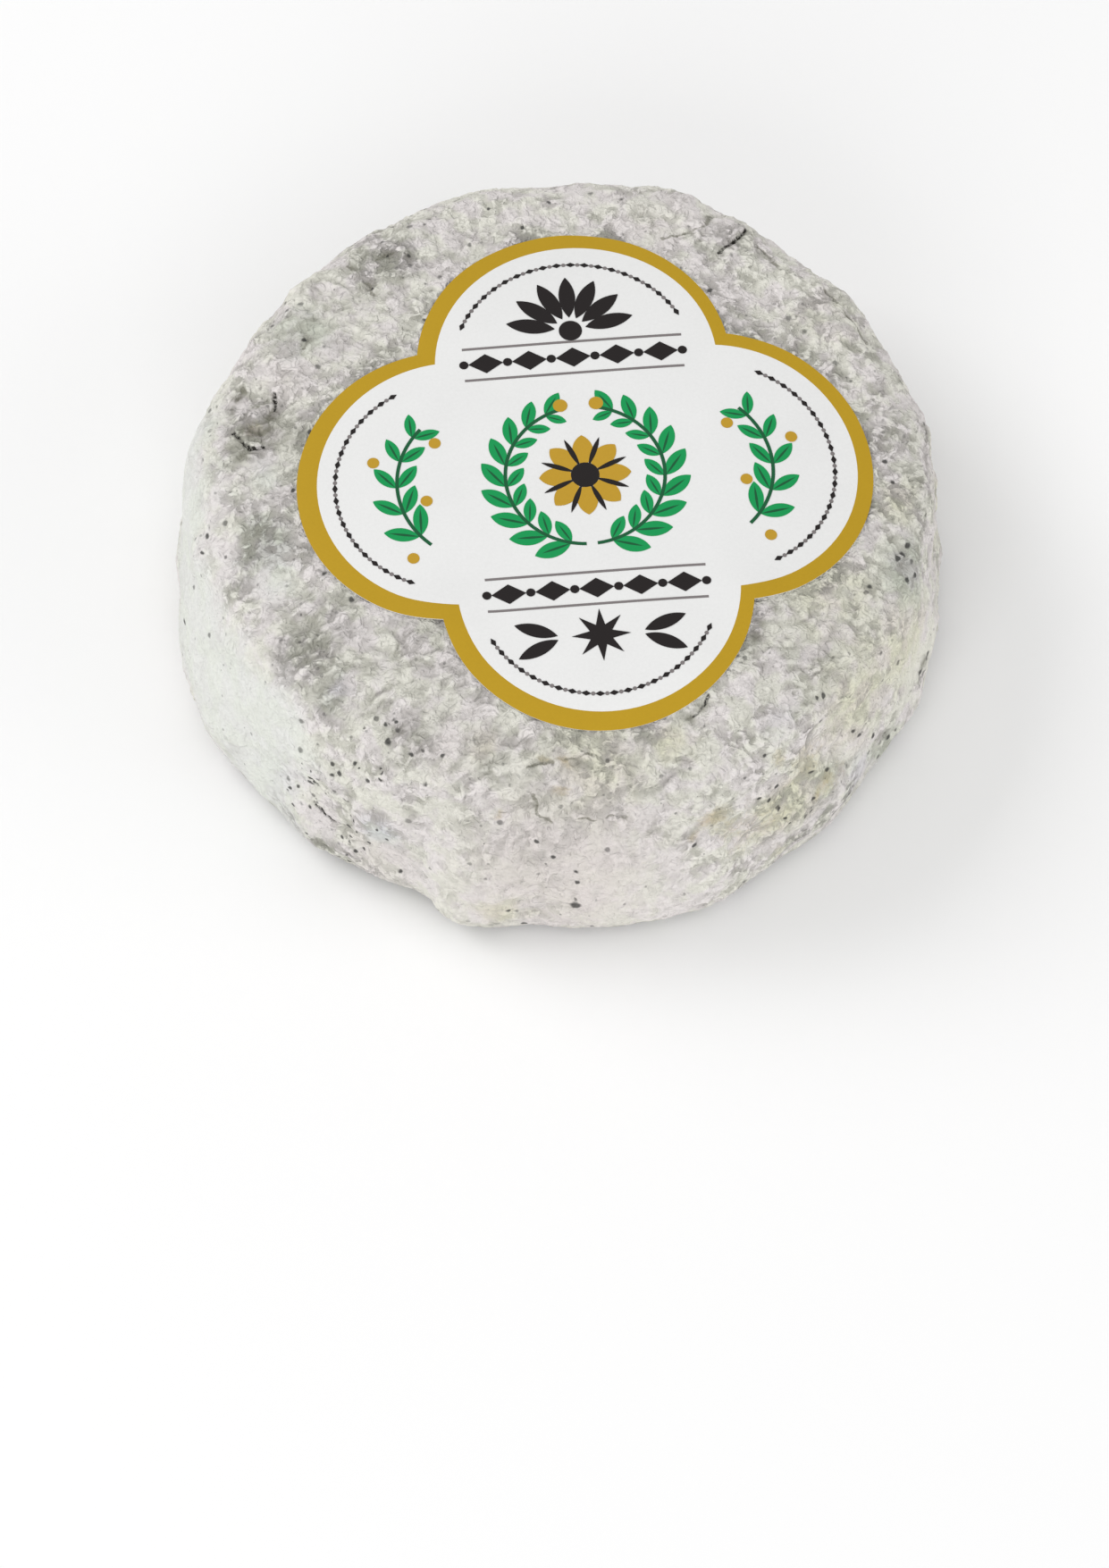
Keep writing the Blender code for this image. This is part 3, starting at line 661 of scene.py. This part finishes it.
def finishRind(piece):
    material, bench, shader = newMaterial("ripenedRind", 0.9, 0.2)

    def kept(name, out=2):
        return bench.node("ShaderNodeAttribute", {"attribute_name": name}, None, out)

    def dye(name):
        return paint(*rindFinish[name])

    place = kept("rest", 1)
    height = bench.node("ShaderNodeSeparateXYZ", None, {0: place}, 2)
    calm = kept("calm")
    mouldAndShade = kept("mouldAndShade")
    folded = kept("folded")
    rose = kept("rose")
    fold = foldPattern(bench, place, folded)
    cloud = bench.noise(place, rindFinish["cloudSize"], 3.0, 0.55) - 0.5
    dust = bench.noise(place, rindFinish["dustSize"], 3.0, 0.65) - 0.5
    patchy = bench.noise(place + (9.0, 21.0, 3.0), rindFinish["patchSize"], 3.0) - 0.5
    fine = bench.crumple(bench.wander(place, 1.3, 0.4), rindFinish["pitSize"])

    # Light folds, with furrows that darken here and there: the dark of furrows and pits is partly ash in the
    # valleys and partly painted shade
    deep = bench.fade(patchy + mouldAndShade * 0.20 - calm * 0.30 + folded * 0.06, -0.18, 0.22)
    furrow = bench.fade(fold, 1.0, 0.0) * (deep * 0.85 + 0.15)
    pits = bench.fade(fine, 0.6, 0.0) * bench.fade(cloud + mouldAndShade * 0.20 - calm * 0.25, -0.02, 0.20)
    dark = bench.most(furrow, pits * 0.6)
    colour = dye("crest")
    for name, strength in rindFinish["washes"]:
        share = bench.fade(kept(name) + cloud * 0.9 + patchy * 0.5, 0.0, 1.0)
        colour = bench.mix(share * strength, colour, dye(name))
    leftward = bench.fade(height.beside(0), *rindFinish["paleFrom"])
    pale = bench.fade(calm + patchy * 0.6 + cloud * 0.4, 0.05, 0.70) * leftward
    colour = bench.mix(pale * 0.9, colour, dye("calm"))
    uneven = 1.80 + cloud * 1.6 + dust * 1.6 - fold * 1.1 - fine * 0.6
    # the grey of the mould, and painted shade laid on in the same grey
    colour = bench.mix(bench.fade(mouldAndShade * uneven, 0.0, 1.2) * 0.74, colour, dye("mouldAndShade"))
    ochre = bench.fade(kept("ochre") + dust * 0.8 + cloud * 0.6, 0.1, 0.9)
    colour = bench.mix(ochre * 0.7, colour, dye("ochre"))
    clean = bench.least(calm * 0.5 + rose * 0.3 + kept("light") * 0.1, 0.6)
    # furrows and pits darkened: ash in the valleys, and painted shade in the hollows
    colour = bench.mix(dark * (0.80 - clean), colour, dye("furrow"))
    low = bench.fade(height + cloud * 3.0, *rindFinish["foot"])
    colour = bench.mix(low * (0.62 - rose * 0.3), colour, dye("mouldAndShade"))
    # brownish painted shadows, under the label's lifted notches and edges and round the blister
    colour = bench.mix(kept("paintedShadow") * (1.3 - fold * 0.5) * 0.8, colour, dye("paintedShadow"))
    blotch = (cloud * 0.20 + patchy * 0.16) * (1 - calm * 0.5)
    # uneven tone, and a painted pool of light on the back of the top
    colour = colour * (1 + dust * 0.26 + blotch + kept("light") * 0.055)

    # A faint change of tint from place to place
    tint = bench.fade(bench.noise(place + (31.0, 7.0, 13.0), 3.0, 2.0), 0.40, 0.60)
    warmth = bench.mix(tint, (1.0, 0.975, 1.0, 1.0), (0.985, 1.0, 0.94, 1.0))
    warmth = bench.mix(rose * 0.8, warmth, (1.0, 0.985, 0.985, 1.0))
    colour = colour * bench.mix(pale * 0.6, warmth, (1.0, 1.0, 1.0, 1.0))

    # Specks, dots, creases and cracks
    dirty = kept("dirty")
    ashy = dirty * 0.5 + mouldAndShade * 0.25 + 0.05
    ash = bench.specks(bench.wander(place, 0.5, 0.12), *rindFinish["specks"]["ash"], ashy)
    colour = bench.mix(ash * 0.45, colour, dye("speck"))
    grit = bench.specks(bench.wander(place, 0.5, 0.15), *rindFinish["specks"]["grit"], dirty * 0.8 + 0.12)
    colour = bench.mix(grit * 0.65, colour, dye("speck"))
    frayed, crackFray, creaseFray = rindFinish["frayed"]
    torn = bench.wander(bench.wander(place, *rind["crackWander"]), frayed, crackFray)
    bent = bench.wander(bench.wander(place, *rind["creaseWander"]), frayed, creaseFray)

    def mark(name, radius, start=torn):  # dark this near the noted place
        inside = bench.fade(bench.distance(start, kept(name, 1)) / radius, 1.25, 0.55)
        return inside * bench.fade(kept(name + "Away"), rind["markReach"], rind["markReach"] * 0.7)

    crease = mark("crease", rindFinish["creaseWidth"], bent) * bench.fade(cloud, -0.22, -0.06)
    colour = bench.mix(crease * (bench.fade(dust, -0.12, 0.02) * 0.40 + 0.38), colour, dye("crease"))
    number = kept("dotNumber")  # a fraction where two dots are equally near
    apart = bench.unsigned(number - bench.reckon("ROUND", number, 0.0))
    dot = mark("dot", kept("dotRadius")) * bench.fade(apart, 0.004, 0.0)
    # dark dots; those beside the label's edge are painted shadows
    colour = bench.mix(dot * 0.9, colour, dye("speck"))
    crack = mark("crack", rindFinish["crackWidth"])
    colour = bench.mix(crack * (bench.fade(dust, -0.08, 0.02) * 0.7 + 0.3), colour, dye("crack"))
    bench.plug(colour, shader.inputs["Base Color"])
    rise = bench.fade(fold, -0.2, 1.1) * (deep * 0.5 + 0.3) * (0.7 + folded * 0.5) * (1 - calm * 0.6)
    rise = rise + fine * (1 - calm * 0.5) * 0.36 + dust * 0.34
    bump = {"Height": rise, "Distance": rindFinish["bumpRise"] * mm, "Strength": 1.0}
    bench.plug(bench.node("ShaderNodeBump", None, bump), shader.inputs["Normal"])
    piece.data.materials.append(material)


rindPiece, rindForm = shapeRind()
foldRind(rindPiece)
finishRind(rindPiece)
takeUp(rindPiece)
bpy.ops.object.shade_smooth()
hand(rindPiece, "cheese")
print("rind:", sum(len(face.vertices) - 2 for face in rindPiece.data.polygons), "triangles")


# The paper label

paperFinish = {
    "white": (234, 234, 233),
    "gold": (187, 151, 36),
    "gloss": 0.15,
    "fibreSize": 0.35,
    "fibreTone": 0.05,
    "fibreBump": 0.012,
}


def pickPoints(piece, wanted):  # edit mode, with the wanted points picked
    openUp(piece, "VERT")
    closeUp()
    for point in piece.data.vertices:
        point.select = wanted(point.co / mm)
    bpy.ops.object.mode_set(mode="EDIT")


def cutOutline(radius, offset, shift):  # adds four arcs to the open piece
    for quarter in range(4):
        side = quarter * pi / 2
        middle = Vector((shift[0] + offset * cos(side), shift[1] + offset * sin(side), sheetHeight)) * mm
        bpy.ops.mesh.primitive_circle_add(vertices=label["roundSides"], radius=radius * mm, location=middle)
        for turn in (side - pi / 4, side + pi / 4):  # only the stretch between the notches stays
            centre = (shift[0] * mm, shift[1] * mm, 0.0)
            sliceAcross(centre, (cos(turn), sin(turn), 0.0), True)
            bpy.ops.mesh.select_linked()


def onPaleEdge(place):  # is it on the white field's outline
    across = place.x - label["paleShift"][0]
    back = place.y - label["paleShift"][1]
    offset = label["paleOffset"]
    middles = [(offset, 0.0), (0.0, offset), (-offset, 0.0), (0.0, -offset)]
    nearest = min(sqrt((across - x) ** 2 + (back - y) ** 2) for x, y in middles)
    return abs(nearest - label["paleRadius"]) < label["mergeGap"]


def gridCut(piece, reach):  # splits its faces, so that they can bend
    openUp(piece)
    step = label["grid"]
    lines = int(reach / step)
    for line in range(-lines - 1, lines + 1):
        for normal in ((1.0, 0.0, 0.0), (0.0, 1.0, 0.0)):
            pickAll()
            at = Vector(normal) * (line + 0.5) * step * mm
            sliceAcross(at, normal)
    closeUp()


def layDown(piece, target, clearance):  # drops a flat piece down on to another
    ways = {"use_project_z": True, "use_positive_direction": False, "use_negative_direction": True}
    addModifier(piece, "SHRINKWRAP", target=target, wrap_method="PROJECT", offset=clearance * mm, **ways)


def toLabel(piece):  # brings a piece from the origin to the label's place
    piece.rotation_euler.z = label["turn"]
    piece.location.x = labelMiddle.x * mm
    piece.location.y = labelMiddle.y * mm
    settle(piece)


def newSheet(name):  # an empty mesh, open for shapes to be added to it
    letGo()
    bpy.ops.mesh.primitive_plane_add(size=mm)
    piece = bpy.context.object
    piece.name = name
    piece.data.name = name
    openUp(piece)
    pickAll()
    bpy.ops.mesh.delete(type="VERT")
    return piece


def cutPaper():
    piece = newSheet("paper")
    for name, colour in (("labelWhite", "white"), ("labelGold", "gold")):
        piece.data.materials.append(printMaterial(name, paperFinish[colour], 0.55))
    cutOutline(label["lobeRadius"], label["lobeOffset"], (0.0, 0.0))
    cutOutline(label["paleRadius"], label["paleOffset"], label["paleShift"])
    pickAll()
    bpy.ops.mesh.remove_doubles(threshold=label["mergeGap"] * mm)
    bpy.ops.mesh.bridge_edge_loops()
    pickAll()
    piece.active_material_index = 1
    bpy.ops.object.material_slot_assign()
    pickPoints(piece, onPaleEdge)
    bpy.ops.mesh.edge_face_add()
    piece.active_material_index = 0
    bpy.ops.object.material_slot_assign()
    pickAll()
    bpy.ops.mesh.normals_make_consistent(inside=False)
    closeUp()
    if piece.data.polygons[0].normal.z < 0.0:
        piece.data.flip_normals()
    gridCut(piece, label["reach"])
    toLabel(piece)
    layDown(piece, rindForm, label["clearance"])
    for way, rise, width in label["lifts"]:
        liftNotch(piece, way, rise, width)
    return piece


def liftNotch(piece, way, rise, width):
    corner = labelMiddle.xy + Vector((cos(radians(way)), sin(radians(way)))) * label["notch"]
    pickPoints(piece, lambda place: (place.xy - corner).length < 0.6)
    settings = {
        "use_proportional_edit": True,
        "use_proportional_connected": True,
        "proportional_edit_falloff": "SMOOTH",
        "proportional_size": width * mm,
    }
    bpy.ops.transform.translate(value=(0.0, 0.0, rise * mm), **settings)
    closeUp()


def printMaterial(name, colour, roughness):  # paper or ink
    material, bench, shader = newMaterial(name, roughness, paperFinish["gloss"])
    place = bench.node("ShaderNodeTexCoord", None, None, 3) * (1 / mm)
    fibres = bench.noise(place * (1.0, 1.0, 0.3), paperFinish["fibreSize"], 3.0, 0.65)
    cloud = bench.noise(place, 6.0, 2.0)
    tone = 1 - (fibres - 0.5) * paperFinish["fibreTone"] * 2 - (cloud - 0.5) * paperFinish["fibreTone"]
    bench.plug(bench.mix(1.0, paint(*colour), paint(*colour)) * tone, shader.inputs["Base Color"])
    bump = {"Height": fibres, "Distance": paperFinish["fibreBump"] * mm, "Strength": 0.5}
    bench.plug(bench.node("ShaderNodeBump", None, bump), shader.inputs["Normal"])
    return material


def thicken(piece, thickness):
    backs = {"material_offset": -1, "material_offset_rim": -1}
    addModifier(piece, "SOLIDIFY", thickness=thickness * mm, offset=-1.0, **backs)
    takeUp(piece)
    bpy.ops.object.shade_smooth_by_angle(angle=radians(35))


print("label: cutting out the paper")
paper = cutPaper()


# The print on it, a wreath round a blossom, two sprigs, and bands of lozenges

inks = {
    "printBlack": {"colour": (38, 34, 34), "rise": 0.050},
    "printGrey": {"colour": (128, 122, 122), "rise": 0.030},
    "printGreen": {"colour": (24, 152, 84), "rise": 0.035},
    "printDeepGreen": {"colour": (30, 92, 58), "rise": 0.042},
    "printOchre": {"colour": (192, 152, 48), "rise": 0.046},
    "printCore": {"colour": (38, 34, 34), "rise": 0.056},
}
inkDepth = 0.02  # thickness of every print


def flatPiece(name):
    piece = bpy.context.object
    piece.name = name
    return piece


def cutDisc(name, radius, sides=20):
    letGo()
    at = (0.0, 0.0, sheetHeight * mm)
    bpy.ops.mesh.primitive_circle_add(vertices=sides, radius=radius * mm, fill_type="NGON", location=at)
    piece = flatPiece(name)
    settle(piece)
    return piece


def cutLozenge(name, length, width):
    piece = cutDisc(name, 0.5, 4)
    openUp(piece)
    pickAll()
    bpy.ops.transform.resize(value=(length, width, 1.0), center_override=origin)
    closeUp()
    return piece


def cutBar(name, length, width):
    letGo()
    bpy.ops.mesh.primitive_plane_add(size=mm, location=(0.0, 0.0, sheetHeight * mm))
    piece = flatPiece(name)
    piece.scale = (length, width, 1.0)
    settle(piece)
    return piece


def cutStar(name, radius, waist, points):
    piece = cutDisc(name, radius, 2 * points)
    openUp(piece)
    closeUp()
    for number, point in enumerate(piece.data.vertices):
        point.select = number % 2 == 1
    bpy.ops.object.mode_set(mode="EDIT")
    bpy.ops.transform.resize(value=(waist / radius, waist / radius, 1.0), center_override=origin)
    closeUp()
    return piece


tipGap = 0.005  # the two arcs of a leaf meet this near


def cutLeaf(name, length, width, sides=72):  # two arcs that meet, from the origin along +X
    half = length / 2
    bend = (half ** 2 + (width / 2) ** 2) / width  # the arcs' radius
    piece = cutDisc(name, bend, sides)
    piece.location = (half * mm, (width / 2 - bend) * mm, 0.0)
    settle(piece)
    openUp(piece)
    pickAll()
    sliceAcross(origin, (0.0, 1.0, 0.0), True)
    pickAll()
    bpy.ops.mesh.duplicate()
    middle = (half * mm, 0.0, sheetHeight * mm)
    bpy.ops.transform.rotate(value=pi, orient_axis="Z", center_override=middle)
    pickAll()
    bpy.ops.mesh.remove_doubles(threshold=tipGap * mm)
    pickAll()
    bpy.ops.mesh.dissolve_faces()
    closeUp()
    return piece


def cutArc(name, radius, width, low, high, sides=96):  # a bent line between two angles, in degrees
    piece = cutDisc(name, radius + width / 2, sides)
    openUp(piece, "FACE")
    pickAll()
    bpy.ops.mesh.inset(thickness=width * mm, use_even_offset=True)
    bpy.ops.mesh.delete(type="FACE")
    for turn in (low + 90, high - 90):
        pickAll()
        sliceAcross(origin, (cos(radians(turn)), sin(radians(turn)), 0.0), True)
    closeUp()
    return piece


def stamp(motif, places):  # copies of one motif at u, v, turned and sized
    copies = []
    for u, v, turn, size in places:
        copy = motif.copy()
        copy.data = motif.data.copy()
        bpy.context.scene.collection.objects.link(copy)
        copy.location = (u * mm, v * mm, 0.0)
        copy.rotation_euler.z = radians(turn)
        copy.scale = (size, size, 1.0)
        copies.append(copy)
    bpy.data.objects.remove(motif)
    return copies


def printInk(name, copies):  # joins one colour's shapes and lays them on the paper
    takeUp(*copies)
    bpy.ops.object.join()
    piece = flatPiece(name)
    piece.data.name = name
    settle(piece)
    piece.data.materials.clear()
    piece.data.materials.append(printMaterial(name, inks[name]["colour"], 0.45))
    gridCut(piece, label["reach"])
    toLabel(piece)
    layDown(piece, paper, inks[name]["rise"])
    thicken(piece, inkDepth)
    hand(piece, "label")


def around(radius, angle, middle=(0.0, 0.0)):
    return middle[0] + radius * cos(radians(angle)), middle[1] + radius * sin(radians(angle))


wreath = {
    "radius": 8.9,
    "leaf": (4.3, 1.95),
    "firstLeaf": 14,  # degrees from the foot of the wreath
    "leafStep": 17.5,
    "leafPairs": 9,
    "leaves": ((-31, 1.0), (47, 0.74)),  # how far a pair turns off the stem, and its size
    "taper": 0.25,  # how much smaller the last leaves are
    "vein": (3.44, 0.3),
    "leafGap": 0.22,  # from the middle of the stem to a leaf
    "stemWidth": 0.40,
    "stems": ((-256, -94), (-86, 76)),  # degrees from and to
}
blossom = {"petals": 8, "from": 1.25, "petal": (3.9, 2.3), "core": 1.6, "sepal": (3.9, 0.62)}
fan = {"middle": (0.0, 18.9), "from": 1.75, "size": (5.5, 1.85), "core": 1.3, "leaves": range(12, 169, 26)}
star = {"middle": (0.0, -20.6), "shape": (3.3, 1.35, 8)}  # its radius, waist and points
wing = {"size": (5.0, 1.6), "foot": (4.2, -20.6), "from": 0.7, "turns": (20, -24)}
berry = {
    "radius": 0.68,
    "along": ((-44, 2.6), (-14, -2.9), (16, 2.9), (44, -2.4)),  # degrees along a sprig, and how far off it
    "atWreath": (2.0, 9.2, 0, 1.2),  # the larger one at the wreath's end
}
sprig = {
    "middle": (10.6, 0.0),
    "radius": 10.4,
    "sweep": 46,
    "leafSweep": 37.72,
    "leaf": (4.0, 1.7),
    "taper": 0.25,
    "leafPairs": 5,
    "splay": 40,
}
band = {
    "heights": (15.4, -14.6),
    "lozenge": (3.9, 2.5),
    "lozenges": 5,
    "step": 4.9,
    "bead": 0.52,
    "rule": (24.6, 0.30),
    "gap": 2.05,  # from a band's middle to its rules
}
edging = {"radius": 13.5, "dot": 0.25, "tick": (1.15, 0.62), "step": 6.6, "reach": 63}


def bothSides(places):  # and the same again, mirrored
    return places + [(-u, v, 180 - turn, size) for u, v, turn, size in places]


def wreathLeaves():
    places = []
    for pair in range(wreath["leafPairs"]):
        along = wreath["firstLeaf"] + pair * wreath["leafStep"]
        stem = around(wreath["radius"], along - 90)
        size = 1.0 - wreath["taper"] * (pair / (wreath["leafPairs"] - 1)) ** 2
        for splay, share in wreath["leaves"]:
            turn = along + splay
            places.append((*around(wreath["leafGap"], turn, stem), turn, size * share))
    return bothSides(places)


def sprigLeaves():
    places = []
    for pair in range(sprig["leafPairs"]):
        share = pair / (sprig["leafPairs"] - 1)
        angle = sprig["leafSweep"] * (2 * share - 1)
        stem = around(sprig["radius"], angle, sprig["middle"])
        for splay in (-sprig["splay"], sprig["splay"]):
            turn = angle + 90 + splay
            places.append((*around(wreath["leafGap"], turn, stem), turn, 1.0 - sprig["taper"] * share))
    return bothSides(places)


def bandPlaces(count):  # so many places along both bands
    first = (1 - count) / 2
    return [((first + number) * band["step"], v, 0, 1.0) for v in band["heights"] for number in range(count)]


def rayPlaces(middle, reach, turns):  # one place on each ray from the middle
    return [(*around(reach, turn, middle), turn, 1.0) for turn in turns]


def edgingPlaces(shift=0.0):
    places = []
    for quarter in range(4):
        side = quarter * 90
        middle = around(label["paleOffset"], side)
        count = int(2 * edging["reach"] / edging["step"])
        for number in range(count + (0 if shift else 1)):
            angle = side - edging["reach"] + 2 * edging["reach"] * (number + shift) / count
            places.append((*around(edging["radius"], angle, middle), angle + 90, 1.0))
    return places


def printLabel():
    middle = (0.0, 0.0, 0, 1.0)
    green = stamp(cutLeaf("leaf", *wreath["leaf"]), wreathLeaves())
    green += stamp(cutLeaf("sprigLeaf", *sprig["leaf"]), sprigLeaves())
    printInk("printGreen", green)

    deep = stamp(cutLeaf("vein", *wreath["vein"]), wreathLeaves() + sprigLeaves())
    for low, high in wreath["stems"]:
        deep += stamp(cutArc("stem", wreath["radius"], wreath["stemWidth"], low, high), [middle])
    stalk = cutArc("stalk", sprig["radius"], wreath["stemWidth"], -sprig["sweep"], sprig["sweep"])
    deep += stamp(stalk, bothSides([(*sprig["middle"], 0, 1.0)]))
    printInk("printDeepGreen", deep)

    turns = [number * 360 / blossom["petals"] for number in range(blossom["petals"])]
    ochre = stamp(cutLeaf("petal", *blossom["petal"]), rayPlaces(middle[:2], blossom["from"], turns))
    berries = [berry["atWreath"]]
    for angle, reach in berry["along"]:
        berries.append((*around(sprig["radius"] + reach, angle, sprig["middle"]), 0, 1.0))
    ochre += stamp(cutDisc("berry", berry["radius"]), bothSides(berries))
    printInk("printOchre", ochre)

    black = stamp(cutLozenge("lozenge", *band["lozenge"]), bandPlaces(band["lozenges"]))
    black += stamp(cutDisc("bead", band["bead"], 14), bandPlaces(band["lozenges"] + 1))
    plume = cutLeaf("plume", *fan["size"])
    black += stamp(plume, rayPlaces(fan["middle"], fan["from"], fan["leaves"]))
    black += stamp(cutStar("star", *star["shape"]), [(*star["middle"], 0, 1.0)])
    wings = rayPlaces(wing["foot"], wing["from"], wing["turns"])
    black += stamp(cutLeaf("wing", *wing["size"]), bothSides(wings))
    between = [turn + 180 / blossom["petals"] for turn in turns]
    black += stamp(cutLeaf("sepal", *blossom["sepal"]), rayPlaces(middle[:2], blossom["from"], between))
    black += stamp(cutLozenge("tick", *edging["tick"]), edgingPlaces())
    printInk("printBlack", black)

    cores = stamp(cutDisc("core", blossom["core"], 28), [middle])
    cores += stamp(cutDisc("fanCore", fan["core"], 28), [(*fan["middle"], 0, 1.0)])
    printInk("printCore", cores)

    grey = stamp(cutDisc("dot", edging["dot"], 10), edgingPlaces(0.5))
    rules = [(0.0, v + side * band["gap"], 0, 1.0) for v in band["heights"] for side in (-1, 1)]
    grey += stamp(cutBar("rule", *band["rule"]), rules)
    printInk("printGrey", grey)


print("label: printing")
printLabel()
thicken(paper, label["thickness"])
hand(paper, "label")
bpy.data.objects.remove(rindForm)


# The place it lies in, the light and the camera

setting = {
    "floorSize": 3.0,
    "floorTone": (252, 252, 252),
    "skyStrength": 0.60,
    "lamps": {  # watts, place and size in metres
        "key": (8.0, (-1.01, 0.47, 1.00), 0.9),
        "front": (6.0, (-0.25, -1.20, 0.60), 1.0),
        "side": (3.4, (1.15, -0.30, 0.55), 1.0),
    },
}
lens = {
    "length": 500.0,
    "sensor": 36.0,
    "elevation": radians(60),
    "pixelsPerMm": 9.95,  # in a photograph 1755 pixels tall
    "photoHeight": 1755,
    "aim": (-0.6, -20.0),  # the picture's middle, right of and above the origin, in millimetres
}


def layFloor():
    letGo()
    bpy.ops.mesh.primitive_plane_add(size=setting["floorSize"], location=(0.0, 0.0, -0.05 * mm))
    floor = bpy.context.object
    floor.name = "floor"
    material, bench, shader = newMaterial("floorPaint", 0.9, 0.0)
    shader.inputs["Base Color"].default_value = paint(*setting["floorTone"])
    floor.data.materials.append(material)


def addLamp(name, place, power, size):
    lamp = bpy.data.lights.new(name, "AREA")
    lamp.energy = power
    lamp.size = size
    holder = bpy.data.objects.new(name, lamp)
    bpy.context.scene.collection.objects.link(holder)
    holder.location = place
    holder.rotation_euler = (-Vector(place)).to_track_quat("-Z", "Y").to_euler()


def addSky():
    sky = bpy.data.worlds.new("studio")
    sky.use_nodes = True
    background = sky.node_tree.nodes["Background"]
    background.inputs["Color"].default_value = (1.0, 1.0, 1.0, 1.0)
    background.inputs["Strength"].default_value = setting["skyStrength"]
    bpy.context.scene.world = sky


def addCamera():
    camera = bpy.data.objects.new("camera", bpy.data.cameras.new("camera"))
    bpy.context.scene.collection.objects.link(camera)
    camera.data.lens = lens["length"]
    camera.data.sensor_width = lens["sensor"]
    rise = lens["elevation"]
    back = Vector((0.0, -cos(rise), sin(rise)))
    up = Vector((0.0, sin(rise), cos(rise)))
    target = Vector((lens["aim"][0], 0.0, 0.0)) * mm + up * lens["aim"][1] * mm
    distance = lens["photoHeight"] / lens["pixelsPerMm"] * mm * lens["length"] / lens["sensor"]
    camera.location = target + back * distance
    camera.rotation_euler = (-back).to_track_quat("-Z", "Y").to_euler()
    bpy.context.scene.camera = camera


print("setting: floor, light and camera")
layFloor()
addSky()
for name, (power, place, size) in setting["lamps"].items():
    addLamp(name, place, power, size)
addCamera()
bpy.context.scene.view_settings.view_transform = "Standard"
